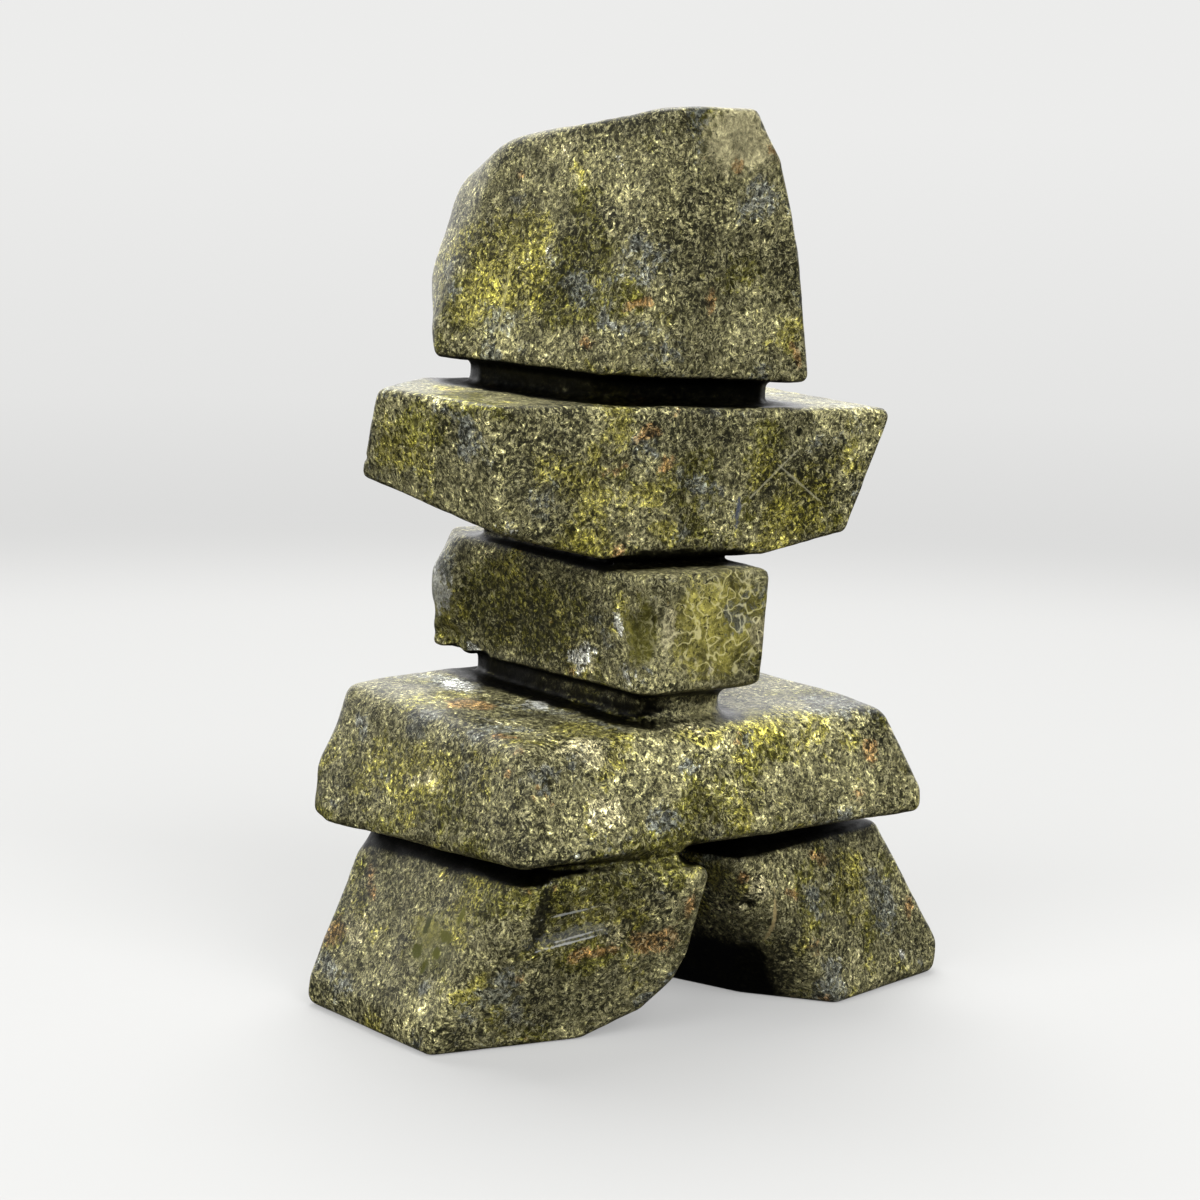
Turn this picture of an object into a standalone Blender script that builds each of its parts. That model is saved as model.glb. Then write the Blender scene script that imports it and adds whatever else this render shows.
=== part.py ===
"""Inuit inukshuk sculpture: a standing figure of six stacked stones, carved from one block of serpentine.

Metres, +Z up. The figure looks towards -Y and its arms run along X. The stones are joined by short necks in
the grooves between them, so the whole figure is one solid. It stands on its two feet, and the origin is on
the ground under the middle of its outline.
"""

import math

import bmesh
import bpy
from mathutils import Matrix, Vector

MM = 0.001
ROUGH_BLOCK = 200 * MM

# Each stone is a rough block with flats sawn on it. A flat is (azimuth, lean, reach): the way it faces,
# in degrees round from the front (right 90, back 180, left -90) and up from level, and how far it lies
# from the stone's middle in millimetres. Round is the radius that the file leaves on the stone's edges.
STONES = {
    "head": {
        "middle": (0, 0, 160),
        "round": 1.7,
        "flats": {
            "underside": (39, -93, 24),
            "crown": (175, 85, 27.5),
            "face": (-7, -3, 28.5),
            "left side": (-75, 12, 24.5),
            "left shoulder": (-102, 17.3, 31.9),
            "back left corner": (-134, -13, 42.6),
            "left back": (-132, 8.5, 42.3),
            "upper left back": (-133, 30, 39.4),
            "left brow": (-137, 56, 33.2),
            "left crown": (-138, 82, 27.2),
            "right side": (90, 10, 22.5),
            "right cheek": (88, 17, 23),
            "right brow": (86, 34, 27),
            "right crown": (91, 59, 30.5),
            "back": (178, 3, 31),
        },
    },
    "arms": {
        "middle": (0, -2, 116),
        "round": 1.6,
        "flats": {
            "underside": (0, -95, 16),
            "top": (14, 86.5, 15),
            "front": (-7, -6, 25.5),
            "left end": (-80, -10, 49.5),
            "right end": (89, -19, 41.3),
            "back": (179, -4, 28.5),
            "under the left arm": (-126, -73.2, 18.5),
            "under the right end": (86, -78, 22),
            "back of the left end": (-140, 18, 47),
        },
    },
    "body": {
        "middle": (-2, 0, 84),
        "round": 1.6,
        "flats": {
            "underside": (0, -92, 12),
            "top": (3, 87, 13.8),
            "front": (-4, 0, 34),
            "left side": (-83, -3, 19.5),
            "right side": (91, -5, 14.5),
            "back": (179, 0, 35),
            "upper back left": (-118, 30, 35.5),
            "back left": (-117, -1, 39.6),
            "back corner": (-150, -5, 43),
            "lower back left": (-118, -45, 33),
        },
    },
    "hips": {
        "middle": (0, 0, 53),
        "round": 2.2,
        "flats": {
            "underside": (0, -88, 13.5),
            "top": (-5, 86, 13.5),
            "front": (-1, 17, 37),
            "left end": (-86, 14, 51.5),
            "right end": (94, 21, 44.7),
            "back": (184, 9, 35.5),
            "front right corner": (44, 6, 65),
        },
    },
    "left leg": {
        "middle": (-36, -4, 19),
        "round": 2.2,
        "flats": {
            "foot": (0, -90, 19),
            "top": (0, 90, 18.5),
            "front": (-13, -18, 26.5),
            "outer side": (-88, 23, 18.8),
            "outer edge of the foot": (-88, 4, 24.8),
            "inner side": (92, -1, 27),
            "inner bulge": (89, -19, 27.5),
            "inner underside": (87, -43, 25),
            "inner edge of the foot": (85, -66, 21.5),
            "back": (179, 2, 28),
        },
    },
    "right leg": {
        "middle": (36, -2, 19),
        "round": 2.2,
        "flats": {
            "foot": (0, -90, 19),
            "top": (0, 89, 17.5),
            "front": (11, 14, 31),
            "inner side": (-72, -28.5, 27.6),
            "undercut of the arch": (-54.5, -31, 30.2),
            "inner side behind": (-100, -5, 28.6),
            "outer side": (94, 29, 22.5),
            "outer bulge": (93, 10, 31),
            "outer edge of the foot": (88, -21, 37.5),
            "back": (180, 3, 30),
        },
    },
}

# A neck fills the middle of the groove between two stones, from the top of the lower one to the underside
# of the upper one. Its wall follows the sides of both, set in from them by this many millimetres, and meets
# the stones in the small corners that a burr leaves. Its roots run this many millimetres into the stones:
# far enough to meet an underside that slopes away, but not out through a wall that leans in.
NECKS = {
    "neck of the head": {"lower": "arms", "upper": "head", "at": (1, -1), "set_in": 5.5, "root": 5},
    "neck of the body": {"lower": "body", "upper": "arms", "at": (-2, 0), "set_in": 3, "root": 5},
    "waist": {"lower": "hips", "upper": "body", "at": (-3, 0), "set_in": 4, "root": 5},
    "left hip": {"lower": "left leg", "upper": "hips", "at": (-28, -4), "set_in": 2.5, "root": 2},
    "right hip": {"lower": "right leg", "upper": "hips", "at": (30, 0), "set_in": 4.8, "root": 2},
}
NECK_SIDES = 48
NECK_CORNER = 1.0 * MM
CORNER_STEPS = 3
NECK_CORNERS = 20.0
STEEPEST_SIDE = 60

# Filing turns each edge in this many steps. Points closer than WELD are one point, and faces that meet at
# less than FLATNESS degrees are one face.
ARC_STEPS = 4
WELD = 0.02 * MM
FLATNESS = 0.2

SERPENTINE = (0.16, 0.20, 0.11, 1.0)
WAXED_ROUGHNESS = 0.35


def facing(azimuth, lean):
    """The direction that a flat faces."""
    level = math.cos(math.radians(lean))
    return Vector(
        (
            math.sin(math.radians(azimuth)) * level,
            -math.cos(math.radians(azimuth)) * level,
            math.sin(math.radians(lean)),
        )
    )


def saw_flat(block, middle, flat, inset):
    """Takes off what lies beyond one flat, less the inset, and closes the cut."""
    azimuth, lean, reach = flat
    normal = facing(azimuth, lean)
    cut = bmesh.ops.bisect_plane(
        block,
        geom=block.verts[:] + block.edges[:] + block.faces[:],
        plane_co=middle + normal * (reach * MM - inset),
        plane_no=normal,
        clear_outer=True,
    )
    rim = [item for item in cut["geom_cut"] if isinstance(item, bmesh.types.BMEdge)]
    if rim:
        bmesh.ops.contextual_create(block, geom=rim)


def filed_corners(block, radius):
    """Points on the ball that rolls round each corner: on its flats, along its edges and at its tip."""
    points = []
    for corner in block.verts:
        tip = Vector()
        for edge in corner.link_edges:
            one, other = (face.normal for face in edge.link_faces)
            for step in range(ARC_STEPS + 1):
                points.append(corner.co + one.slerp(other, step / ARC_STEPS) * radius)
        for face in corner.link_faces:
            tip += face.normal
        points.append(corner.co + tip.normalized() * radius)
    return points


def object_from(shape, name, collection):
    """Turns a modelled shape into an object with its faces pointing out."""
    bmesh.ops.recalc_face_normals(shape, faces=shape.faces[:])
    mesh = bpy.data.meshes.new(name)
    shape.to_mesh(mesh)
    shape.free()
    obj = bpy.data.objects.new(name, mesh)
    collection.objects.link(obj)
    return obj


def carve_stone(name, collection):
    """A block sawn to its flats, with every edge and corner filed to one radius."""
    stone = STONES[name]
    middle = Vector(stone["middle"]) * MM
    radius = stone["round"] * MM
    block = bmesh.new()
    bmesh.ops.create_cube(block, size=ROUGH_BLOCK, matrix=Matrix.Translation(middle))
    for flat in stone["flats"].values():
        saw_flat(block, middle, flat, radius)
    bmesh.ops.recalc_face_normals(block, faces=block.faces[:])
    block.normal_update()
    points = filed_corners(block, radius)
    block.clear()
    for point in points:
        block.verts.new(point)
    bmesh.ops.remove_doubles(block, verts=block.verts[:], dist=WELD)
    hull = bmesh.ops.convex_hull(block, input=block.verts[:])
    bmesh.ops.delete(block, geom=list(set(hull["geom_interior"])), context="VERTS")
    bmesh.ops.dissolve_limit(
        block, angle_limit=math.radians(FLATNESS), verts=block.verts[:], edges=block.edges[:]
    )
    return object_from(block, name, collection)


def flat_of(stone_name, flat_name):
    """A point on a stone's flat, and the way the flat faces."""
    stone = STONES[stone_name]
    azimuth, lean, reach = stone["flats"][flat_name]
    normal = facing(azimuth, lean)
    return Vector(stone["middle"]) * MM + normal * reach * MM, normal


def height_at(stone_name, flat_name, x, y):
    """How high a top or an underside lies over (x, y)."""
    point, normal = flat_of(stone_name, flat_name)
    return point.z - (normal.x * (x - point.x) + normal.y * (y - point.y)) / normal.z


def sides_round(centre, stone_names):
    """The level direction of each side flat of these stones, and how far the flat is from the centre."""
    sides = []
    for stone_name in stone_names:
        for flat_name, flat in STONES[stone_name]["flats"].items():
            if abs(flat[1]) > STEEPEST_SIDE:
                continue
            point, normal = flat_of(stone_name, flat_name)
            level = normal.xy.length
            sides.append((normal.xy / level, (point - centre).dot(normal) / level))
    return sides


def neck_outline(sides, set_in, height):
    """One level of a neck: the sides' outline, set in, with round corners."""
    points = []
    for step in range(NECK_SIDES):
        angle = math.tau * step / NECK_SIDES
        way = Vector((math.cos(angle), math.sin(angle)))
        nearness = sum(
            (max(0.0, way.dot(side)) / (distance - set_in)) ** NECK_CORNERS for side, distance in sides
        )
        points.append((way * nearness ** (-1 / NECK_CORNERS)).to_3d() + Vector((0, 0, height)))
    return points


def neck_levels(groove, root):
    """Heights up the neck, and how far it spreads there: a straight wall with a small corner at each end."""
    half = groove / 2
    corner = []
    for step in range(CORNER_STEPS + 1):
        angle = math.pi / 2 * step / CORNER_STEPS
        corner.append((half - NECK_CORNER * (1 - math.cos(angle)), NECK_CORNER * (1 - math.sin(angle))))
    upper = [(half + root, NECK_CORNER), *corner]
    return [(-height, spread) for height, spread in upper] + upper[::-1]


def carve_neck(name, collection):
    """A loft from inside the lower stone to inside the upper one."""
    neck = NECKS[name]
    x, y = (place * MM for place in neck["at"])
    below = height_at(neck["lower"], "top", x, y)
    above = height_at(neck["upper"], "underside", x, y)
    centre = Vector((x, y, (below + above) / 2))
    sides = sides_round(centre, (neck["lower"], neck["upper"]))
    loft = bmesh.new()
    rings = []
    for height, spread in neck_levels(above - below, neck["root"] * MM):
        outline = neck_outline(sides, neck["set_in"] * MM - spread, height)
        rings.append([loft.verts.new(point) for point in outline])
    for lower, upper in zip(rings, rings[1:]):
        for side in range(NECK_SIDES):
            after = (side + 1) % NECK_SIDES
            loft.faces.new((lower[side], lower[after], upper[after], upper[side]))
    loft.faces.new(rings[0])
    loft.faces.new(rings[-1])
    obj = object_from(loft, name, collection)
    up = flat_of(neck["lower"], "top")[1] - flat_of(neck["upper"], "underside")[1]
    obj.location = centre
    obj.rotation_euler = Vector((0, 0, 1)).rotation_difference(up).to_euler()
    return obj


def new_collection(name):
    collection = bpy.data.collections.new(name)
    bpy.context.scene.collection.children.link(collection)
    return collection


def serpentine():
    """Waxed grey-green stone."""
    material = bpy.data.materials.new("waxed serpentine")
    material.use_nodes = True
    shader = material.node_tree.nodes["Principled BSDF"]
    shader.inputs["Base Color"].default_value = SERPENTINE
    shader.inputs["Roughness"].default_value = WAXED_ROUGHNESS
    shader.inputs["Metallic"].default_value = 0.0
    return material


def join(figure, shape):
    """Adds a stone or a neck to the figure, and keeps the shape itself as a hidden guide."""
    shape.hide_render = True
    shape.display_type = "WIRE"
    union = figure.modifiers.new("with the " + shape.name, "BOOLEAN")
    union.operation = "UNION"
    union.solver = "EXACT"
    union.object = shape


def stand_over_origin(base, figure):
    """Moves the empty that carries everything, so that the figure's outline is centred on the origin."""
    bpy.context.view_layer.update()
    box = figure.evaluated_get(bpy.context.evaluated_depsgraph_get()).bound_box
    for axis in (0, 1):
        edges = [corner[axis] for corner in box]
        base.location[axis] = -(min(edges) + max(edges)) / 2


for old in list(bpy.data.objects):
    bpy.data.objects.remove(old)

sculpture = new_collection("inukshuk")
guides = new_collection("stones and necks")

ground = bpy.data.objects.new("ground", None)
sculpture.objects.link(ground)

figure = carve_stone("hips", sculpture)
figure.name = "carved_inukshuk"
figure.data.materials.append(serpentine())
figure.parent = ground

shapes = [carve_stone(name, guides) for name in STONES if name != "hips"]
shapes += [carve_neck(name, guides) for name in NECKS]
for shape in shapes:
    shape.parent = ground
    join(figure, shape)

stand_over_origin(ground, figure)
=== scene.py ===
"""Inuit inukshuk sculpture: the looks of a small standing figure, carved from one block of serpentine.

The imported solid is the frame, and the stone's fine mesh is cut from it. Places on the stone are in mm.
"""

import math

import bmesh
import bpy
import numpy as np
from mathutils import Matrix, Vector, noise
from mathutils.bvhtree import BVHTree


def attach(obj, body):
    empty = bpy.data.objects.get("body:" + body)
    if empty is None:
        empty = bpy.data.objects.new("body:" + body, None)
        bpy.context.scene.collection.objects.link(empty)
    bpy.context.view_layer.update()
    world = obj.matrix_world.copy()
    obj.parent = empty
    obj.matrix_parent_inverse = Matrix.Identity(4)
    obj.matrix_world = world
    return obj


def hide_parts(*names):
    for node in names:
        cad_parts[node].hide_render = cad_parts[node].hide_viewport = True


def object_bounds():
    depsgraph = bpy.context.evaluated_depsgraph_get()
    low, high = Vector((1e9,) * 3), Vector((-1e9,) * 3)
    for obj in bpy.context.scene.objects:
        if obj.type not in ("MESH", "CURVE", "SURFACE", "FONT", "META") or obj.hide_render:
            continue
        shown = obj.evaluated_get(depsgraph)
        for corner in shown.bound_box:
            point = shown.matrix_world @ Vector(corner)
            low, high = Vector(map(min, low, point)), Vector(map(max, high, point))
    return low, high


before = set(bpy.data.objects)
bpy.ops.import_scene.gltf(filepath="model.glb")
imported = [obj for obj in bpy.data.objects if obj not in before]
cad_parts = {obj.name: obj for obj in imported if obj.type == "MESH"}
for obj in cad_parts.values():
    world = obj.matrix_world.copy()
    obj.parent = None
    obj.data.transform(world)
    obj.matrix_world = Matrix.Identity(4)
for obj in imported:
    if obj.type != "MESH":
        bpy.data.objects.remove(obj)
cad_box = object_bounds()

# The figure
# One block of serpentine, sawn and ground to six stacked "stones", with grooves burred between them. It was
# then rubbed down by hand with wet paper, so its flats sway a little and its upper edges are round. A broken
# ledge and some open pits are left where the stone was weak.

MM = 0.001
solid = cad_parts["carved_inukshuk"]

# The fine mesh is cut in steps this long, and thinned to this many faces. Points closer than this are one.
CUT_STEP = 0.6 * MM
MOST_FACES = 190000
SAME_POINT = 0.01 * MM

# Where the edges were rubbed rounder: place and half sizes, both in mm.
RUBBED_ROUND = {
    "left of the head": ((-34, 18, 172), (30, 32, 34)),
    "middle edge of the head": ((-4, -28, 165), (12, 12, 22)),
    "left edge of the arms": ((-20, -24, 116), (8, 8, 16)),
    "front corner of the hips": ((-40, -34, 60), (14, 12, 12)),
    "upper front edge of the hips": ((0, -34, 66), (60, 12, 7)),
    "upper left edge of the hips": ((-52, 0, 66), (12, 40, 7)),
    "far left corner of the hips": ((-56, 36, 62), (10, 12, 12)),
    "lower left corner of the hips": ((-60, 34, 42), (8, 8, 8)),
    "left end of the body": ((-28, 28, 87), (12, 14, 16)),
    "upper edge of the left leg": ((-54, 8, 37), (7, 32, 6)),
    "front edge of the left leg": ((-52, -28, 20), (12, 14, 24)),
    "front edge of the right leg": ((10, -34, 20), (10, 10, 20)),
}

# How often the stone is rubbed there and all over, and how far each pass draws a point to its neighbours.
ROUND_PASSES = 130
ALL_OVER_PASSES = 3
PASS_SHARE = 0.5

# How the rubbed faces stray from true: spacing and depth, both in mm.
SWAY = ((17, 0.35), (6, 0.16), (2.6, 0.07))

# Stone that stands proud of the solid, and stone that is broken out of it: place, half sizes and height, all
# in mm. Where it is broken, the depth varies by this share.
PROUD = {
    "round end of the body": ((-29, 30, 88), (7, 10, 9), 1.0),
}
BROKEN = {
    "ledge under the body's end": ((-28, 30, 75.5), (7, 8, 4), 1.6),
    "ledge beside the waist": ((-27, 21, 73.5), (5, 5, 3), 1.2),
    "nick in the end of the arms": ((-56, 17, 117.5), (2.4, 3, 1.2), 0.9),
    "pit above": ((-56.5, -7, 23.5), (1.4, 1.1, 2.0), 0.9),
    "pit in front": ((-57, -14, 22), (1.4, 2.0, 1.3), 0.9),
    "pit behind": ((-59, -7, 18), (1.4, 1.4, 2.0), 0.8),
    "pit below": ((-58.5, -12.5, 18.5), (1.4, 1.8, 1.0), 0.8),
    "lowest pit": ((-60, -12, 16), (1.4, 0.9, 1.6), 0.8),
    "pit by the top": ((-54.5, -16, 28), (1.4, 1.0, 1.7), 0.7),
    "hole in the right leg": ((7, -32, 23.5), (2.2, 2.6, 2.4), 1.0),
}
BROKEN_SPACING = 1.8
BROKEN_SHARE = 0.6

# The faces run level into the soles over this height in mm.
SOLE_REACH = 2.0

# How steeply a mark sets in at its edge.
EDGE_RISE = 1.4


def cut_fine(solid, name):
    """A finer copy of the solid: the same form in even steps."""
    rough = bpy.data.objects.new(name, solid.data.copy())
    bpy.context.scene.collection.objects.link(rough)
    weld = bmesh.new()
    weld.from_mesh(rough.data)
    bmesh.ops.remove_doubles(weld, verts=weld.verts[:], dist=SAME_POINT)
    weld.to_mesh(rough.data)
    weld.free()
    steps = rough.modifiers.new("even steps", "REMESH")
    steps.mode = "VOXEL"
    steps.voxel_size = CUT_STEP
    evaluated = rough.evaluated_get(bpy.context.evaluated_depsgraph_get())
    mesh = bpy.data.meshes.new_from_object(evaluated)
    bpy.data.objects.remove(rough)
    mesh.name = name
    return mesh


def near(points, place, half_sizes):
    """1 at a place, falling to 0 at its edge."""
    away = np.linalg.norm((points - place) / half_sizes, axis=1)
    share = np.clip(EDGE_RISE * (1 - away), 0, 1)
    return share * share * (3 - 2 * share)


def rub(points, edges, share, passes):
    """Draws each point towards the middle of its neighbours, as rubbing does."""
    edges = edges[(share[edges] > 0).any(axis=1)]
    ends = np.concatenate([edges, edges[:, ::-1]])
    neighbours = np.maximum(np.bincount(ends[:, 0], minlength=len(points)), 1)[:, None]
    for _ in range(passes):
        middle = np.stack(
            [np.bincount(ends[:, 0], points[ends[:, 1], axis], len(points)) for axis in range(3)], axis=1
        )
        points = points + PASS_SHARE * share[:, None] * (middle / neighbours - points)
    return points


def read(values, key, width):
    """One attribute of the fine mesh's points or edges, as an array."""
    flat = np.empty(len(values) * width, dtype=int if key == "vertices" else float)
    values.foreach_get(key, flat)
    return flat.reshape(-1, width)


def thinned(mesh, most):
    """The same surface with fewer faces: fewest where it is flat."""
    rough = bpy.data.objects.new(mesh.name, mesh)
    bpy.context.scene.collection.objects.link(rough)
    fewer = rough.modifiers.new("fewer faces", "DECIMATE")
    fewer.ratio = most / sum(len(face.vertices) - 2 for face in mesh.polygons)
    evaluated = rough.evaluated_get(bpy.context.evaluated_depsgraph_get())
    made = bpy.data.meshes.new_from_object(evaluated)
    bpy.data.objects.remove(rough)
    return made


fine = cut_fine(solid, "rubbed_inukshuk")
edges = read(fine.edges, "vertices", 2)
points = read(fine.vertices, "co", 3) / MM
points = rub(points, edges, np.ones(len(points)), ALL_OVER_PASSES)
rounder = np.zeros(len(points))
for place, half_sizes in RUBBED_ROUND.values():
    rounder = np.maximum(rounder, near(points, place, half_sizes))
points = rub(points, edges, rounder, ROUND_PASSES)
fine.vertices.foreach_set("co", (points * MM).ravel())
fine.update()
ways = read(fine.vertices, "normal", 3)


def sway(point):
    """How far a rubbed face lies off true at a point in mm."""
    return sum(depth * noise.noise(point / spacing) for spacing, depth in SWAY)


spots = [Vector(point) for point in points]
height = np.array([sway(spot) for spot in spots])
for place, half_sizes, proud in PROUD.values():
    height += proud * near(points, place, half_sizes)
ragged = np.array([noise.noise(spot / BROKEN_SPACING) for spot in spots])
for place, half_sizes, deep in BROKEN.values():
    height -= deep * near(points, place, half_sizes) * (1 + BROKEN_SHARE * ragged)

# The soles are ground flat, so nothing strays there, and nothing reaches below them.
height *= np.clip(points[:, 2] / SOLE_REACH, 0, 1)
moved = points + ways * height[:, None]
moved[:, 2] = np.maximum(moved[:, 2], 0)
fine.vertices.foreach_set("co", (moved * MM).ravel())
fine.update()
fine = thinned(fine, MOST_FACES)
fine.shade_smooth()

# Nothing stands out of the solid's own box, or the figure would no longer fit where the solid does.
points = np.clip(read(fine.vertices, "co", 3), *np.array(cad_box))
fine.vertices.foreach_set("co", points.ravel())
fine.update()
points = points / MM
ways = read(fine.vertices, "normal", 3)
spots = [Vector(point) for point in points]

figure = bpy.data.objects.new("rubbed_inukshuk", fine)
bpy.context.scene.collection.objects.link(figure)
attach(figure, "root")
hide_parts("carved_inukshuk")

# The stone is serpentine, rubbed with wet paper and waxed. It is grey-green, full of pale curled fibres
# and black grains, with clouds of other colours. Wax gives it a soft gloss, which shows as a pale sheen
# where a face is seen at a low angle.

# Each colour lies in clouds through the whole block, with their spacing in mm and the share of the surface
# that they cover, and in single marks on the surface, with their place and half sizes in mm. Raggedness
# says how far it is mixed grain by grain with what lies round it.
GROUND = "#57543A"
COLOURS = {
    "olive": {
        "hex": "#3E3C10",
        "raggedness": 1.6,
        "cover": 0.85,
        "clouds": (24, 0.22),
        "marks": {
            "foot of the head": ((-35, 12, 150), (10, 16, 12)),
            "left of the body": ((-26, 0, 84), (10, 34, 16)),
            "brow of the head": ((-20, 8, 178), (12, 10, 8)),
            "glassy part of the body": ((-21, -30, 85), (4, 7, 14)),
            "top of the hips": ((-18, -20, 66), (14, 12, 4)),
            "front of the hips": ((9, -36, 60), (12, 5, 6)),
            "middle of the arms": ((12, -31, 122), (12, 5, 8)),
        },
    },
    "yellow green": {
        "hex": "#645F26",
        "raggedness": 1.9,
        "cover": 0.75,
        "clouds": (17, 0.20),
        "marks": {
            "end of the hips": ((31, -37, 59), (8, 5, 6)),
            "pits in the left leg": ((-58, -9, 21), (5, 9, 9)),
            "left leg, low": ((-59, -25, 14), (6, 6, 6)),
            "left half of the head": ((-32, 4, 158), (14, 22, 20)),
            "left face of the hips": ((-56, 0, 54), (10, 30, 12)),
            "under the arms": ((-10, -25, 104), (8, 5, 4)),
        },
    },
    "yellow": {
        "hex": "#69642F",
        "raggedness": 1.3,
        "cover": 0.9,
        "clouds": (13, 0.02),
        "marks": {
            "right of the body": ((-3, -34, 85), (23, 12, 18)),
            "top of the hips": ((-30, -24, 66), (16, 12, 4)),
            "upper front edge of the hips": ((-2, -35, 64), (30, 6, 4)),
            "under the arms": ((-10, -25, 104), (8, 5, 3)),
            "left leg": ((-57, -19, 24), (5, 9, 10)),
            "left leg, low": ((-58, -26, 14), (6, 6, 7)),
            "foot of the head": ((-36, 8, 150), (8, 16, 10)),
        },
    },
    "cream": {
        "hex": "#8C8666",
        "raggedness": 1.5,
        "cover": 0.75,
        "clouds": (15, 0.03),
        "marks": {
            "crown of the head": ((2, -30, 184), (14, 14, 13)),
            "front edge of the body": ((-16, -32, 85), (3.5, 4, 11)),
            "shoulder of the hips": ((-37, -33, 63), (10, 8, 5)),
            "upper front edge of the hips": ((-8, -34, 66), (20, 6, 4)),
            "left face of the left leg": ((-60, 16, 18), (6, 8, 7)),
            "front of the hips": ((-36, -38, 50), (9, 6, 6)),
        },
    },
    "blue grey": {
        "hex": "#474B4C",
        "raggedness": 2.4,
        "cover": 0.7,
        "clouds": (14, 0.10),
        "marks": {
            "head, low": ((-27, -14, 154), (6, 8, 7)),
            "head, right": ((7, -30, 172), (7, 5, 8)),
            "left end of the arms": ((-56, -9, 128), (4, 6, 5)),
            "arms, right": ((6, -30, 107), (4, 5, 6)),
            "hips, left of the corner": ((-48, -35, 58), (6, 5, 5)),
            "hips, low": ((-21, -39, 47), (7, 5, 6)),
            "hips, middle": ((-13, -36, 56), (6, 5, 5)),
            "hips, left face": ((-58, 19, 61), (5, 6, 5)),
            "body, front": ((2, -34, 84), (3, 4, 4)),
            "right leg": ((48, -31, 19), (10, 8, 12)),
            "left leg, low": ((-21, -32, 8), (6, 6, 4)),
            "left leg, left": ((-61, -14, 12), (4, 5, 4)),
        },
    },
    "rust": {
        "hex": "#6E5330",
        "raggedness": 1.5,
        "cover": 0.75,
        "clouds": (12, 0.012),
        "marks": {
            "head, top": ((2, -29, 178), (3, 3, 3)),
            "head, middle": ((-20, -25, 151), (5, 4, 3)),
            "head, low": ((-28, -19, 143), (5, 5, 3)),
            "head, right": ((-3, -28, 151), (4, 4, 5)),
            "head, corner": ((18, -29, 141), (3, 3, 6)),
            "upper edge of the arms": ((-16, -21, 130), (7, 4, 2)),
            "arms, middle": ((-18, -26, 124), (5, 4, 4)),
            "arms, beside": ((-12, -26, 119), (4, 4, 4)),
            "arms, low": ((-21, -21, 102), (9, 5, 5)),
            "top of the hips": ((-40, 2, 67), (9, 9, 4)),
            "hips, edge": ((-49, -22, 65), (4, 4, 2)),
            "hips, dot": ((-41, -36, 55), (1.5, 2, 1.2)),
            "hips, right": ((35, -38, 55), (5, 4, 3)),
            "left leg, left edge": ((-64, 22, 17), (4, 9, 7)),
            "left leg, band": ((-34, -34, 20), (11, 5, 3)),
            "left leg, band's end": ((-22, -37, 21), (10, 6, 6)),
            "left leg, inner edge": ((-15, -41, 29), (4, 5, 6)),
            "right leg, inner edge": ((5, -35, 31), (3, 4, 6)),
            "right leg, middle": ((18, -34, 26), (6, 4, 2.5)),
            "right leg, top": ((28, -31, 31), (6, 4, 3)),
            "right leg, outer edge": ((58, -29, 16), (3, 4, 7)),
        },
    },
    "white": {
        "hex": "#8C8D88",
        "raggedness": 2.0,
        "cover": 0.8,
        "clouds": (14, 0.003),
        "marks": {
            "left end of the body": ((-30, 33, 87), (9, 9, 10)),
            "foot of the body": ((-23, -13, 76), (4, 7, 6)),
            "seam in the body": ((-22, -24, 85), (2.6, 3.4, 11)),
            "ledge": ((-27, 23, 74), (4, 6, 3)),
            "top of the hips": ((-27, -3, 66), (7, 7, 3)),
            "end of the hips' top": ((-33, 18, 68), (8, 9, 3)),
            "right leg, low": ((54, -32, 7), (3, 3, 3)),
        },
    },
}
BLACK_GRAINS = {
    "hex": "#12130E",
    "cover": 0.9,
    "clouds": (15, 0.3),
    "marks": {
        "head": ((-8, -28, 163), (18, 8, 15)),
        "left of the body": ((-27, 4, 84), (9, 34, 15)),
        "left end of the arms": ((-52, -10, 125), (9, 9, 9)),
        "foot of the right leg": ((30, -33, 12), (12, 6, 9)),
        "top of the left leg": ((-52, -11, 35), (6, 8, 5)),
        # More black grains in the hole in the right leg: painted shade inside it.
        "hole in the right leg": ((7, -32, 24), (2.4, 2.6, 2.2)),
    },
}

# Parts drawn lighter or darker than the rest. This is partly the stone's own tone and partly painted light:
# a painted
# # sheen on the top of the hips and the head's left end, painted light on faces turned up or to the left,
# and painted
# # shade under the arms' overhang and on fronts that face down.
PALER_AND_PAINTED_LIGHT = {
    "hips": ((-8, -10, 58), (66, 62, 17)),
    "top of the hips": ((-14, 0, 69), (70, 70, 7)),
    "left end of the arms": ((-54, 0, 123), (18, 40, 20)),
    "left end of the head": ((-38, 28, 160), (10, 12, 26)),
}
DARKER_AND_PAINTED_SHADE = {
    "head": ((-4, -20, 152), (46, 34, 32)),
    "brow of the head": ((-24, 4, 172), (18, 26, 16)),
    "left of the body": ((-27, 4, 84), (14, 40, 20)),
    "front of the arms": ((4, -28, 116), (34, 12, 22)),
    "right leg": ((28, -32, 16), (40, 16, 24)),
    "front of the left leg": ((-34, -34, 22), (22, 12, 20)),
}

# Where fibres are few, and the stone looks smooth and clear.
CLEAR = {
    "crown of the head": ((2, -30, 184), (14, 14, 13)),
    "left end of the body": ((-30, 33, 87), (9, 9, 10)),
    "glassy part of the body": ((-21, -30, 85), (4, 7, 14)),
    "top of the hips": ((-27, -3, 66), (7, 7, 3)),
    "pits in the left leg": ((-58, -9, 21), (4, 7, 7)),
}

# Where a net of cream fibres lies round yellow-green cells.
NET = {
    "right of the body": ((-3, -34, 85), (23, 12, 18)),
    "top of the hips": ((5, -25, 66), (20, 12, 4)),
}

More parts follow.
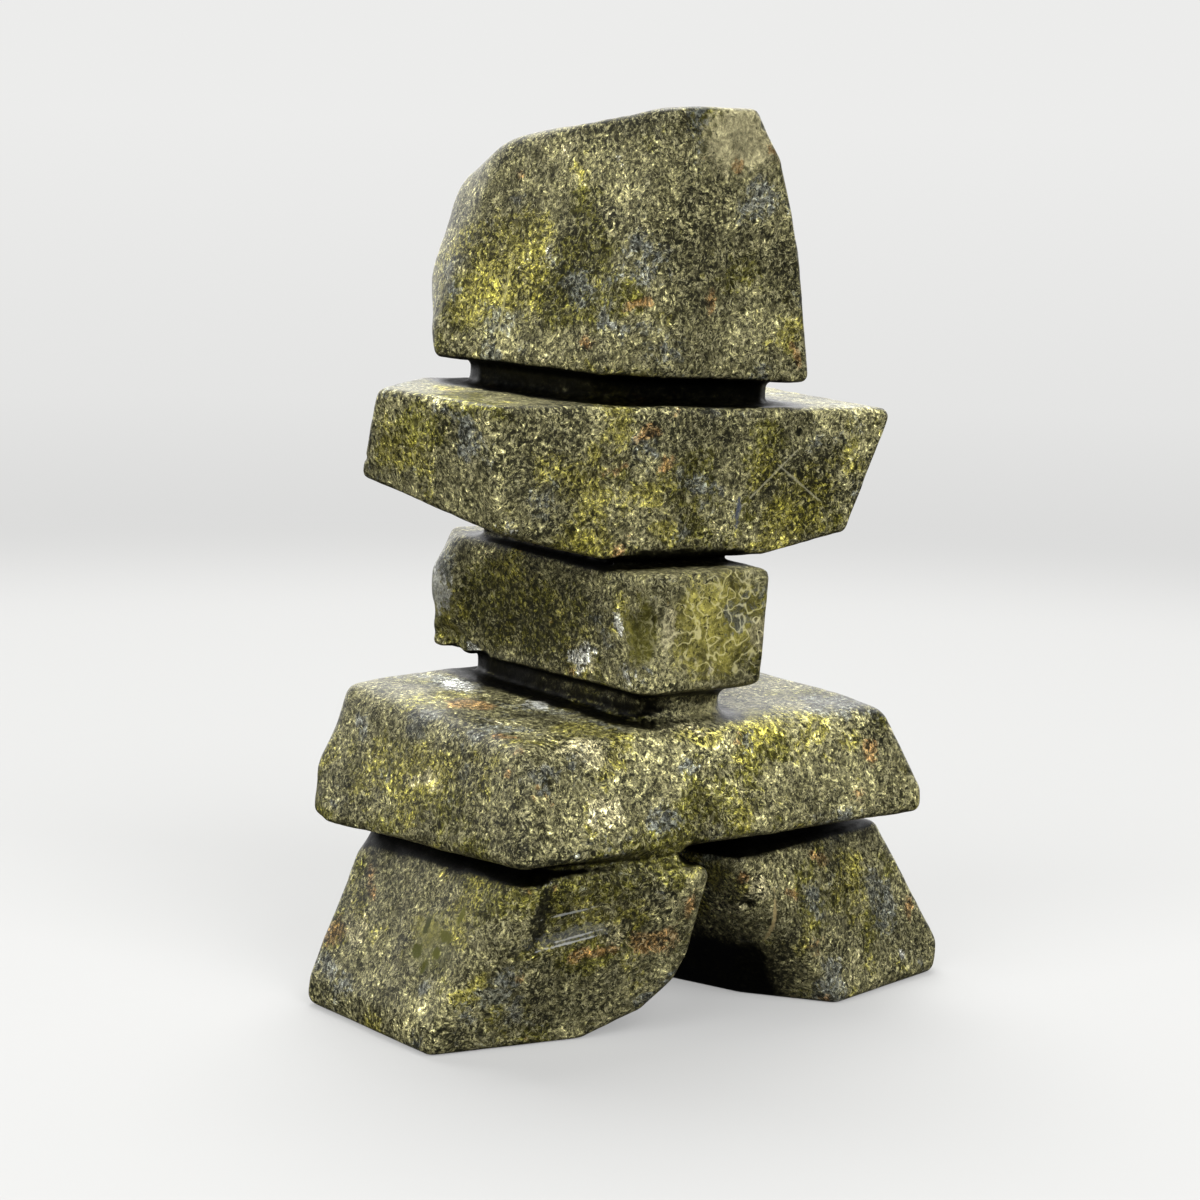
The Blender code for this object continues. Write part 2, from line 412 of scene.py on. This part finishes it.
# The marks' outlines wander by this much over this distance, in mm. The seed keeps them the same each run,
# since the vector noise would start from the clock without one.
WANDER = 3.2
WANDER_SPACING = 7.0
WANDER_SEED = 1
noise.seed_set(WANDER_SEED)
wander = np.array([noise.noise_vector(spot / WANDER_SPACING) for spot in spots])
strayed = points + WANDER * wander


def marked(marks):
    """1 inside a mark, falling to 0 at its edge."""
    share = np.zeros(len(points))
    for place, half_sizes in marks.values():
        share = np.maximum(share, near(strayed, place, half_sizes))
    return share


def keep(name, share):
    """Keeps a share for each point of the mesh, for the material to read."""
    fine.attributes.new(name, "FLOAT", "POINT").data.foreach_set("value", share.astype(np.float32))


# How steeply a cloud sets in, how far apart the colours' noises lie, and how each is layered: the
# exponent, how much finer each layer is than the last, and the number of layers.
CLOUD_EDGE = 1.6
CLOUDS_APART = (7.3, 3.1, 5.7)
CLOUD_LAYERS = (0.8, 2.1, 3)
for number, (name, layer) in enumerate([*COLOURS.items(), ("black grains", BLACK_GRAINS)]):
    spacing, covered = layer["clouds"]
    apart = Vector((CLOUDS_APART[0] * number, CLOUDS_APART[1], CLOUDS_APART[2] * number))
    cloud = np.array([noise.fractal(spot / spacing + apart, *CLOUD_LAYERS) for spot in spots])
    share = np.clip(0.5 + CLOUD_EDGE * (cloud - np.quantile(cloud, 1 - covered)), 0, 1)
    keep(name, np.maximum(share, marked(layer["marks"])))
keep("clear", marked(CLEAR))
keep("net", marked(NET))
# The stored "light" share is the parts' tone, partly the stone's own and partly painted light and shade.
keep("light", marked(PALER_AND_PAINTED_LIGHT) - marked(DARKER_AND_PAINTED_SHADE))

# The grooves and the arch are darkened with painted shade, in the stone's own colour. Feelers sent out from
# each point
# tell how open it lies: the share of them that meets no stone within this length.
FEELERS = 14
FEELER_LENGTH = 8 * MM
FEELER_START = 0.6 * MM
GOLDEN_TURN = math.pi * (3 - math.sqrt(5))
feelers = []
for number in range(FEELERS):
    out = math.sqrt((number + 0.5) / FEELERS)
    turned = number * GOLDEN_TURN
    feelers.append(Vector((out * math.cos(turned), out * math.sin(turned), math.sqrt(1 - out * out))))
walls = BVHTree.FromPolygons([v.co for v in fine.vertices], [f.vertices for f in fine.polygons])


def openness(spot, way):
    """The share of feelers that meet no stone, from 0 in a slit to 1 on a free face."""
    start = spot + way * FEELER_START
    upright = way.to_track_quat("Z", "Y")
    free = sum(walls.ray_cast(start, upright @ feeler, FEELER_LENGTH)[0] is None for feeler in feelers)
    return free / FEELERS


# The shade is painted deeper where the arch is deepest, by halving the openness there.
DEEPER_SHADE_SHARE = 0.5
SHADE_PAINTED_DEEPER = {
    "depth of the arch": ((11, -18, 3), (18, 27, 21)),
    "inner side of the left leg": ((-10, -10, 10), (6, 30, 20)),
}
opened = np.array([openness(spot * MM, Vector(way)) for spot, way in zip(spots, ways)])
keep("open", opened * (1 - DEEPER_SHADE_SHARE * marked(SHADE_PAINTED_DEEPER)))


def linear(colour):
    """The linear value of an sRGB hex colour."""
    parts = [int(colour[i : i + 2], 16) / 255 for i in (1, 3, 5)]
    return [p / 12.92 if p <= 0.04045 else ((p + 0.055) / 1.055) ** 2.4 for p in parts] + [1.0]


def add(tree, kind, inputs, **settings):
    """Adds a node with its settings. Each input is linked from a socket, or set to a value."""
    made = tree.nodes.new(kind)
    for name, value in settings.items():
        setattr(made, name, value)
    for name, value in inputs.items():
        if isinstance(value, bpy.types.NodeSocket):
            tree.links.new(value, made.inputs[name])
        else:
            made.inputs[name].default_value = value
    return made


stone = bpy.data.materials.new("waxed serpentine")
stone.use_nodes = True
tree = stone.node_tree
tree.nodes.clear()

place = add(tree, "ShaderNodeTexCoord", {}).outputs["Object"]
millimetres = add(tree, "ShaderNodeVectorMath", {0: place, "Scale": 1 / MM}, operation="SCALE").outputs[0]

# A slow noise stirs the whole pattern, so that nothing in it lies straight, and shades it in wide patches.
STIR_SPACING = 4.5
STIR = 1.5
MIDDLE = (0.5, 0.5, 0.5)
stir = add(
    tree,
    "ShaderNodeTexNoise",
    {"Vector": millimetres, "Scale": 1 / STIR_SPACING, "Detail": 3.0, "Roughness": 0.6},
).outputs["Color"]
centred = add(tree, "ShaderNodeVectorMath", {0: stir, 1: MIDDLE}, operation="SUBTRACT").outputs[0]
shifted = add(tree, "ShaderNodeVectorMath", {0: centred, "Scale": 2 * STIR}, operation="SCALE").outputs[0]
stirred = add(tree, "ShaderNodeVectorMath", {0: millimetres, 1: shifted}, operation="ADD").outputs[0]
patches = add(tree, "ShaderNodeSeparateXYZ", {0: centred}).outputs

# A quick noise breaks the edges of the colours into single grains.
RAG_SPACING = 1.5
rag = add(
    tree,
    "ShaderNodeTexNoise",
    {"Vector": stirred, "Scale": 1 / RAG_SPACING, "Detail": 3.0, "Roughness": 0.7},
).outputs["Color"]
rag = add(tree, "ShaderNodeVectorMath", {0: rag, 1: MIDDLE}, operation="SUBTRACT").outputs[0]
rags = add(tree, "ShaderNodeSeparateXYZ", {0: rag}).outputs

# Crumbs: the stone's own grain, in light and dark. The real grains are finer than a millimetre, and are
# drawn this coarse so that they show.
CRUMB_SPACING = 0.95
CRUMB_CONTRAST = 20.0
crumb = add(
    tree,
    "ShaderNodeTexNoise",
    {"Vector": stirred, "Scale": 1 / CRUMB_SPACING, "Detail": 4.0, "Roughness": 0.8, "Distortion": 0.4},
).outputs["Fac"]

# Fibres: thin curled pale lines, longer than wide and most of them upright, where a fine noise passes
# through its middle value. They come in tufts, with bare stone between. The real ones are finer than this.
FIBRE_SPACING = 1.25
FIBRE_WIDTH = 0.045
UPRIGHT = (1.0, 1.0, 0.6)
TUFT_BEGINS = -0.10
TUFT_FULL = 0.08
upright = add(tree, "ShaderNodeVectorMath", {0: stirred, 1: UPRIGHT}, operation="MULTIPLY").outputs[0]
fibre_noise = add(
    tree,
    "ShaderNodeTexNoise",
    {"Vector": upright, "Scale": 1 / FIBRE_SPACING, "Detail": 1.2, "Distortion": 1.1},
).outputs["Fac"]
fibre_away = add(tree, "ShaderNodeMath", {0: fibre_noise, 1: 0.5}, operation="SUBTRACT").outputs[0]
fibre_away = add(tree, "ShaderNodeMath", {0: fibre_away}, operation="ABSOLUTE").outputs[0]
fibre = add(
    tree,
    "ShaderNodeMapRange",
    {0: fibre_away, 1: 0.0, 2: FIBRE_WIDTH, 3: 1.0, 4: 0.0},
    interpolation_type="SMOOTHSTEP",
).outputs[0]
tuft = add(
    tree,
    "ShaderNodeMapRange",
    {0: rags[2], 1: TUFT_BEGINS, 2: TUFT_FULL, 3: 0.0, 4: 1.0},
    interpolation_type="SMOOTHSTEP",
).outputs[0]
fibre = add(tree, "ShaderNodeMath", {0: fibre, 1: tuft}, operation="MULTIPLY").outputs[0]

# Veins: the same, three millimetres apart. They show as a net in a few places, and faintly elsewhere.
VEIN_SPACING = 3.4
VEIN_WIDTH = 0.045
vein_noise = add(
    tree, "ShaderNodeTexNoise", {"Vector": stirred, "Scale": 1 / VEIN_SPACING, "Detail": 1.0}
).outputs["Fac"]
vein_away = add(tree, "ShaderNodeMath", {0: vein_noise, 1: 0.5}, operation="SUBTRACT").outputs[0]
vein_away = add(tree, "ShaderNodeMath", {0: vein_away}, operation="ABSOLUTE").outputs[0]
vein = add(
    tree,
    "ShaderNodeMapRange",
    {0: vein_away, 1: 0.0, 2: VEIN_WIDTH, 3: 1.0, 4: 0.0},
    interpolation_type="SMOOTHSTEP",
).outputs[0]

# Each colour in turn lies over the last, where its share and the quick noise together are more than this.
FULLEST = 0.8
COLOUR_BEGINS = 0.45
COLOUR_FULL = 0.70
hue = linear(GROUND)
for number, (name, layer) in enumerate(COLOURS.items()):
    share = add(tree, "ShaderNodeAttribute", {}, attribute_name=name).outputs["Fac"]
    share = add(tree, "ShaderNodeMath", {0: share, 1: FULLEST}, operation="MULTIPLY").outputs[0]
    share = add(
        tree,
        "ShaderNodeMath",
        {0: rags[number % len(rags)], 1: layer["raggedness"], 2: share},
        operation="MULTIPLY_ADD",
    ).outputs[0]
    share = add(
        tree,
        "ShaderNodeMapRange",
        {0: share, 1: COLOUR_BEGINS, 2: COLOUR_FULL, 3: 0.0, 4: layer["cover"]},
        interpolation_type="SMOOTHSTEP",
    ).outputs[0]
    tint = linear(layer["hex"])
    hue = add(tree, "ShaderNodeMix", {0: share, 6: hue, 7: tint}, data_type="RGBA").outputs[2]

# A still slower noise makes whole parts of a stone lighter or darker.
SLOW_SPACING = 15.0
slow = add(
    tree, "ShaderNodeTexNoise", {"Vector": millimetres, "Scale": 1 / SLOW_SPACING, "Detail": 2.0}
).outputs["Fac"]

# Crumbs and patches change the tone in stops, so that dark ones are very dark. They are calmer where the
# stone is clear or has a net.
PATCH_CONTRAST = 4.4
SLOW_CONTRAST = 4.0
LIGHTER = 0.5
CALMER = 0.65
clear = add(tree, "ShaderNodeAttribute", {}, attribute_name="clear").outputs["Fac"]
net = add(tree, "ShaderNodeAttribute", {}, attribute_name="net").outputs["Fac"]
plain = add(tree, "ShaderNodeMath", {0: clear, 1: net}, operation="MAXIMUM").outputs[0]
strength = add(tree, "ShaderNodeMath", {0: plain, 1: -CALMER, 2: 1.0}, operation="MULTIPLY_ADD").outputs[0]
tone = add(tree, "ShaderNodeMath", {0: crumb, 1: 0.5}, operation="SUBTRACT").outputs[0]
tone = add(tree, "ShaderNodeMath", {0: tone, 1: CRUMB_CONTRAST}, operation="MULTIPLY").outputs[0]
tone = add(tree, "ShaderNodeMath", {0: tone, 1: strength}, operation="MULTIPLY").outputs[0]
tone = add(
    tree, "ShaderNodeMath", {0: patches[2], 1: PATCH_CONTRAST, 2: tone}, operation="MULTIPLY_ADD"
).outputs[0]
slow = add(tree, "ShaderNodeMath", {0: slow, 1: 0.5}, operation="SUBTRACT").outputs[0]
tone = add(tree, "ShaderNodeMath", {0: slow, 1: SLOW_CONTRAST, 2: tone}, operation="MULTIPLY_ADD").outputs[0]
# Lighter and darker parts, partly painted sheen and painted shade, shift the tone in stops.
tone_and_painted_light = add(tree, "ShaderNodeAttribute", {}, attribute_name="light").outputs["Fac"]
tone = add(
    tree, "ShaderNodeMath", {0: tone_and_painted_light, 1: LIGHTER, 2: tone}, operation="MULTIPLY_ADD"
).outputs[0]
bright = add(tree, "ShaderNodeMath", {0: 2.0, 1: tone}, operation="POWER").outputs[0]
ground = add(tree, "ShaderNodeVectorMath", {0: hue, "Scale": bright}, operation="SCALE").outputs[0]

# Fibres and veins lie on the ground, half in its own colour made brighter and half in a pale one.
FIBRE = "#C8C29A"
FIBRE_BRIGHTER = 2.6
FIBRE_OWN = 0.5
FIBRE_COVER = 0.85
NET_COVER = 0.8
FAINT_COVER = 0.12
thread = add(tree, "ShaderNodeVectorMath", {0: hue, "Scale": FIBRE_BRIGHTER}, operation="SCALE").outputs[0]
thread = add(tree, "ShaderNodeMix", {0: FIBRE_OWN, 6: thread, 7: linear(FIBRE)}, data_type="RGBA").outputs[2]
thread_share = add(tree, "ShaderNodeMath", {0: fibre, 1: FIBRE_COVER}, operation="MULTIPLY").outputs[0]
thread_share = add(tree, "ShaderNodeMath", {0: thread_share, 1: strength}, operation="MULTIPLY").outputs[0]
vein_share = add(
    tree, "ShaderNodeMath", {0: net, 1: NET_COVER, 2: FAINT_COVER}, operation="MULTIPLY_ADD"
).outputs[0]
vein_share = add(tree, "ShaderNodeMath", {0: vein, 1: vein_share}, operation="MULTIPLY").outputs[0]
thread_share = add(tree, "ShaderNodeMath", {0: thread_share, 1: vein_share}, operation="MAXIMUM").outputs[0]
colour = add(tree, "ShaderNodeMix", {0: thread_share, 6: ground, 7: thread}, data_type="RGBA").outputs[2]

# Black grains are ragged specks where another noise is lowest, with more of them where they swarm.
BLACK_SPACING = 0.9
BLACK_LIMIT = 0.416
BLACK_SWARM = 0.085
BLACK_EDGE = 0.03
black_noise = add(
    tree,
    "ShaderNodeTexNoise",
    {"Vector": stirred, "Scale": 1 / BLACK_SPACING, "Detail": 3.0, "Roughness": 0.7},
).outputs["Fac"]
swarm = add(tree, "ShaderNodeAttribute", {}, attribute_name="black grains").outputs["Fac"]
limit = add(
    tree, "ShaderNodeMath", {0: swarm, 1: BLACK_SWARM, 2: BLACK_LIMIT}, operation="MULTIPLY_ADD"
).outputs[0]
limit = add(
    tree, "ShaderNodeMath", {0: plain, 1: -BLACK_SWARM, 2: limit}, operation="MULTIPLY_ADD"
).outputs[0]
below = add(tree, "ShaderNodeMath", {0: limit, 1: black_noise}, operation="SUBTRACT").outputs[0]
speck = add(
    tree,
    "ShaderNodeMapRange",
    {0: below, 1: 0.0, 2: BLACK_EDGE, 3: 0.0, 4: BLACK_GRAINS["cover"]},
    interpolation_type="SMOOTHSTEP",
).outputs[0]
black = linear(BLACK_GRAINS["hex"])
colour = add(tree, "ShaderNodeMix", {0: speck, 6: colour, 7: black}, data_type="RGBA").outputs[2]

# Small marks, drawn sharper than the mesh's points can carry: colour, cover, place and half sizes in mm, and
# how steeply they rise to the right, in degrees. The quick noise frays them.
MARK_FRAY = 2.5
MARK_FULL = 0.7
MARK_ENDS = 1.05
SMALL_MARKS = {
    "rim of the pits": ("#8E8C5C", 0.2, (-59, -12, 21), (6, 7.5, 7), 0),
    "pit above": ("#34360C", 0.95, (-58, -8, 24), (4, 1.1, 2.4), 0),
    "pit in front": ("#4A4A10", 0.95, (-58, -15.5, 23), (4, 2.4, 1.2), 0),
    "pit behind": ("#3C3E0C", 0.95, (-60, -8, 19), (4, 1.8, 1.5), 0),
    "pit below": ("#45460E", 0.95, (-59, -14, 19.6), (4, 1.6, 1.1), 0),
    "lowest pit": ("#3C3E0C", 0.9, (-60, -12, 16.4), (4, 1.0, 1.7), 0),
    "pit by the top": ("#50500F", 0.9, (-55.5, -18, 28), (4, 0.9, 1.6), 0),
    "dark vein in the left leg": ("#0E0F0B", 0.9, (-47.2, -33, 29), (1.9, 6, 8.5), 0),
    "dark foot of the vein": ("#1A1B14", 0.7, (-50, -33, 21), (2.4, 5, 3.5), 20),
    "grey round the scratches": ("#6E7276", 0.3, (-39, -33, 25), (9, 5, 2.2), 10),
    "scratch": ("#B9BAB6", 0.75, (-39.5, -33, 23.2), (6.5, 5, 0.33), 10),
    "scratch beside it": ("#B9BAB6", 0.7, (-38, -33, 24.6), (5.5, 5, 0.28), 11),
    "scratch above": ("#A5A7A3", 0.55, (-41, -35, 30), (5.5, 5, 0.25), 9),
    # The hole's near-black is painted shade inside it.
    "hole in the right leg": ("#0C0C08", 0.95, (7, -32, 24), (1.6, 3, 1.5), 0),
    "vein down the right leg": ("#A08E62", 0.6, (13, -35, 20), (0.4, 6, 8), 4),
    "line in the head": ("#A09A68", 0.6, (-32.5, 4, 150), (4, 0.3, 13), 0),
    "line in the arms": ("#A8A488", 0.45, (14, -28, 115), (11, 6, 0.25), 42),
    "line across it": ("#A8A488", 0.4, (21, -28, 113), (9, 6, 0.25), -35),
    "blue vein in the arms": ("#3A4152", 0.8, (6, -28, 107), (0.6, 5, 3.5), 0),
}
for tint, cover, middle, half_sizes, rise in SMALL_MARKS.values():
    inside = add(
        tree,
        "ShaderNodeMapping",
        {
            "Vector": millimetres,
            "Location": middle,
            "Rotation": (0.0, -math.radians(rise), 0.0),
            "Scale": half_sizes,
        },
        vector_type="TEXTURE",
    ).outputs[0]
    away = add(tree, "ShaderNodeVectorMath", {0: inside}, operation="LENGTH").outputs["Value"]
    away = add(
        tree, "ShaderNodeMath", {0: rags[0], 1: MARK_FRAY, 2: away}, operation="MULTIPLY_ADD"
    ).outputs[0]
    share = add(
        tree,
        "ShaderNodeMapRange",
        {0: away, 1: MARK_FULL, 2: MARK_ENDS, 3: cover, 4: 0.0},
        interpolation_type="SMOOTHSTEP",
    ).outputs[0]
    colour = add(tree, "ShaderNodeMix", {0: share, 6: colour, 7: linear(tint)}, data_type="RGBA").outputs[2]

# Painted shade darkens the stone where it lies less open than this, and is darkest below the second value.
SHADE_ENDS = 0.93
SHADE_DARKEST = 0.62
SHADE_LEAVES = 0.01
open_share = add(tree, "ShaderNodeAttribute", {}, attribute_name="open").outputs["Fac"]
painted_shade = add(
    tree,
    "ShaderNodeMapRange",
    {0: open_share, 1: SHADE_DARKEST, 2: SHADE_ENDS, 3: SHADE_LEAVES, 4: 1.0},
    interpolation_type="SMOOTHSTEP",
).outputs[0]
colour = add(tree, "ShaderNodeVectorMath", {0: colour, "Scale": painted_shade}, operation="SCALE").outputs[0]

# Wax fills the stone unevenly: pale crumbs and fibres stand a little proud and shine, dark ones are
# duller, and bare stone in the grooves is duller still.
RELIEF = 0.1 * MM
RELIEF_STRENGTH = 0.35
FIBRE_RELIEF = 0.5
CRUMB_DARK = 0.3
CRUMB_PALE = 0.7
ROUGH_DARK = 0.46
ROUGH_PALE = 0.30
BARE_BELOW = 0.1
WAXED_ABOVE = 0.6
BARE_ROUGHER = 0.5
relief = add(
    tree, "ShaderNodeMath", {0: fibre, 1: FIBRE_RELIEF, 2: crumb}, operation="MULTIPLY_ADD"
).outputs[0]
bump = add(tree, "ShaderNodeBump", {"Strength": RELIEF_STRENGTH, "Distance": RELIEF, "Height": relief})
rough = add(
    tree, "ShaderNodeMapRange", {0: crumb, 1: CRUMB_DARK, 2: CRUMB_PALE, 3: ROUGH_DARK, 4: ROUGH_PALE}
).outputs[0]
dull = add(
    tree, "ShaderNodeMapRange", {0: open_share, 1: BARE_BELOW, 2: WAXED_ABOVE, 3: BARE_ROUGHER, 4: 0.0}
).outputs[0]
rough = add(tree, "ShaderNodeMath", {0: rough, 1: dull}, operation="ADD").outputs[0]

# Serpentine's IOR is about 1.55. The gloss is half the usual one, since wax doesn't fill every pore.
STONE_IOR = 1.55
STONE_GLOSS = 0.25
shader = add(
    tree,
    "ShaderNodeBsdfPrincipled",
    {
        "Base Color": colour,
        "Roughness": rough,
        "IOR": STONE_IOR,
        "Specular IOR Level": STONE_GLOSS,
        "Normal": bump.outputs[0],
    },
)
add(tree, "ShaderNodeOutputMaterial", {"Surface": shader.outputs[0]})
fine.materials.clear()
fine.materials.append(stone)

# The table and the backdrop
# A sheet of matt white paper, laid flat and curved up all round the figure. The curved part glows by
# itself, as the wall of a light tent does. It takes shadows only: what lights the stone is the room, in
# the next section.

# The paper's profile, in metres: the table's edge, where the paper begins to bend, the bend and the top.
PAPER_FLAT = 0.55
PAPER_BEND_AT = 1.0
PAPER_BEND = 0.30
PAPER_TOP = 1.6
PAPER_SIDES = 96
BEND_STEPS = 16


def turn(profile, name):
    """A round sheet, from its profile in metres: how far out, and how high."""
    sheet = bmesh.new()
    line = [sheet.verts.new((out, 0.0, up)) for out, up in profile]
    edges = [sheet.edges.new(pair) for pair in zip(line, line[1:])]
    bmesh.ops.spin(
        sheet,
        geom=line + edges,
        cent=(0, 0, 0),
        axis=(0, 0, 1),
        angle=math.tau,
        steps=PAPER_SIDES,
        use_merge=True,
    )
    bmesh.ops.remove_doubles(sheet, verts=sheet.verts[:], dist=SAME_POINT)
    bmesh.ops.recalc_face_normals(sheet, faces=sheet.faces[:])
    mesh = bpy.data.meshes.new(name)
    sheet.to_mesh(mesh)
    sheet.free()
    mesh.shade_smooth()
    made = bpy.data.objects.new(name, mesh)
    bpy.context.scene.collection.objects.link(made)
    return made


table = turn([(0.0, 0.0), (PAPER_FLAT, 0.0)], "table")
profile = [(PAPER_FLAT, 0.0), (PAPER_BEND_AT, 0.0)]
for step in range(1, BEND_STEPS + 1):
    bent = math.pi / 2 * step / BEND_STEPS
    profile.append((PAPER_BEND_AT + PAPER_BEND * math.sin(bent), PAPER_BEND * (1 - math.cos(bent))))
profile.append((PAPER_BEND_AT + PAPER_BEND, PAPER_TOP))
backdrop = turn(profile, "backdrop")

# Out from the middle in metres: where the paper begins to glow, and where it only glows.
GLOW_BEGINS = 0.56
GLOW_FULL = 0.95

# How bright the glowing paper is, along its height in metres.
GLOW = ((0.0, 0.72), (0.06, 0.78), (0.25, 0.84))

# Matt paper scatters light evenly, without gloss. The flat part glows a little, so that shadows stay pale.
PAPER_WHITE = "#848483"
PAPER_TINT = (1.0, 1.0, 0.99, 1.0)
FLAT_GLOW = 0.32

paper = bpy.data.materials.new("matt white paper")
paper.use_nodes = True
tree = paper.node_tree
tree.nodes.clear()
place = add(tree, "ShaderNodeNewGeometry", {}).outputs["Position"]
flat_place = add(tree, "ShaderNodeVectorMath", {0: place, 1: (1, 1, 0)}, operation="MULTIPLY").outputs[0]
out = add(tree, "ShaderNodeVectorMath", {0: flat_place}, operation="LENGTH").outputs["Value"]
up = add(tree, "ShaderNodeSeparateXYZ", {0: place}).outputs[2]
glow = add(
    tree,
    "ShaderNodeMapRange",
    {0: out, 1: GLOW_BEGINS, 2: GLOW_FULL, 3: 0.0, 4: 1.0},
    interpolation_type="SMOOTHSTEP",
).outputs[0]
(low, dim), (middle, half), (high, full) = GLOW
rise = add(tree, "ShaderNodeMapRange", {0: up, 1: low, 2: middle, 3: dim, 4: half}).outputs[0]
rise_more = add(tree, "ShaderNodeMapRange", {0: up, 1: middle, 2: high, 3: 0.0, 4: full - half}).outputs[0]
rise = add(tree, "ShaderNodeMath", {0: rise, 1: rise_more}, operation="ADD").outputs[0]
diffuse = add(tree, "ShaderNodeBsdfDiffuse", {"Color": linear(PAPER_WHITE)}).outputs[0]
shine = add(tree, "ShaderNodeEmission", {"Color": PAPER_TINT, "Strength": FLAT_GLOW}).outputs[0]
lit = add(tree, "ShaderNodeAddShader", {0: diffuse, 1: shine}).outputs[0]
glowing = add(tree, "ShaderNodeEmission", {"Color": PAPER_TINT, "Strength": rise}).outputs[0]
surface = add(tree, "ShaderNodeMixShader", {0: glow, 1: lit, 2: glowing}).outputs[0]
add(tree, "ShaderNodeOutputMaterial", {"Surface": surface})
for sheet in (table, backdrop):
    sheet.data.materials.append(paper)
    sheet.visible_diffuse = False
    sheet.visible_glossy = False
backdrop.visible_shadow = False

# The light
# A round soft box high up, a little behind the figure, and two lower ones on its left and in front. The
# room is bright behind the figure and dark in front of it, so that the grooves stay nearly black, and
# flats seen at a low angle shine.

# Angles in degrees, sizes in metres. Only the high box is mirrored, or flats turned to the others burn out.
AIM = Vector((-0.0068, 0.0033, 0.086))
LAMP_AWAY = 2.4
LAMPS = {
    "high soft box": {"azimuth": 150, "elevation": 68, "size": 1.6, "watts": 64.0, "mirrored": True},
    "left soft box": {"azimuth": -74, "elevation": 33, "size": 2.0, "watts": 63.0, "mirrored": False},
    "front soft box": {"azimuth": -3, "elevation": 34, "size": 1.8, "watts": 75.0, "mirrored": False},
}


def way_to(azimuth, elevation):
    """The direction of a place in the room, in degrees: azimuth from the figure's front, and elevation."""
    turned, raised = math.radians(azimuth), math.radians(elevation)
    level = math.cos(raised)
    return Vector((math.sin(turned) * level, -math.cos(turned) * level, math.sin(raised)))


for name, lamp in LAMPS.items():
    light = bpy.data.lights.new(name, "AREA")
    light.shape = "DISK"
    light.size = lamp["size"]
    light.energy = lamp["watts"]
    holder = bpy.data.objects.new(name, light)
    bpy.context.scene.collection.objects.link(holder)
    way = way_to(lamp["azimuth"], lamp["elevation"])
    holder.location = AIM + way * LAMP_AWAY
    holder.rotation_euler = way.to_track_quat("Z", "Y").to_euler()
    holder.visible_camera = False
    holder.visible_glossy = lamp["mirrored"]

# Where the room is brightest, how it sets in as the cosine away from there, and how it ends at floor level.
BRIGHT_SIDE = way_to(150, 10)
BRIGHT_BEGINS = 0.2
BRIGHT_FULL = 0.85
FLOOR_BELOW = -0.12
FLOOR_ABOVE = 0.06
ROOM_DARK = 0.02
ROOM_BRIGHT = 2.0
ROOM_TINT = "#FFFFFF"
room = bpy.data.worlds.new("room")
room.use_nodes = True
tree = room.node_tree
way = add(tree, "ShaderNodeTexCoord", {}).outputs["Generated"]
facing = add(
    tree, "ShaderNodeVectorMath", {0: way, 1: BRIGHT_SIDE}, operation="DOT_PRODUCT"
).outputs["Value"]
bright = add(
    tree,
    "ShaderNodeMapRange",
    {0: facing, 1: BRIGHT_BEGINS, 2: BRIGHT_FULL, 3: 0.0, 4: ROOM_BRIGHT},
    interpolation_type="SMOOTHSTEP",
).outputs[0]
level = add(tree, "ShaderNodeSeparateXYZ", {0: way}).outputs[2]
above = add(
    tree,
    "ShaderNodeMapRange",
    {0: level, 1: FLOOR_BELOW, 2: FLOOR_ABOVE, 3: 0.0, 4: 1.0},
    interpolation_type="SMOOTHSTEP",
).outputs[0]
bright = add(tree, "ShaderNodeMath", {0: bright, 1: above}, operation="MULTIPLY").outputs[0]
bright = add(tree, "ShaderNodeMath", {0: bright, 1: ROOM_DARK}, operation="ADD").outputs[0]
tree.links.new(bright, tree.nodes["Background"].inputs["Strength"])
tree.nodes["Background"].inputs["Color"].default_value = linear(ROOM_TINT)
bpy.context.scene.world = room
bpy.context.scene.view_settings.view_transform = "Standard"
bpy.context.scene.view_settings.look = "None"

# The camera
# A long lens, a little above the figure and off its left front corner, and not quite level. It was placed
# by the outline and the edges in the photo.

# Lens and sensor in millimetres, angles in degrees, distances in metres.
LENS = 75
SENSOR = 36
TURNED = -36.8
DOWN = 7.9
ROLL = 1.1
AWAY = 0.541
NEAREST = 0.01

turned, down, roll = math.radians(TURNED), math.radians(DOWN), math.radians(ROLL)
level = math.cos(down)
forward = Vector((-math.sin(turned) * level, math.cos(turned) * level, -math.sin(down)))
side = Vector((math.cos(turned), math.sin(turned), 0))
up = side.cross(forward)
side, up = side * math.cos(roll) + up * math.sin(roll), up * math.cos(roll) - side * math.sin(roll)
lens = bpy.data.cameras.new("camera")
lens.lens = LENS
lens.sensor_width = SENSOR
lens.clip_start = NEAREST
camera = bpy.data.objects.new("camera", lens)
bpy.context.scene.collection.objects.link(camera)
camera.matrix_world = Matrix.LocRotScale(
    AIM - forward * AWAY, Matrix((side, up, -forward)).transposed().to_quaternion(), None
)
bpy.context.scene.camera = camera
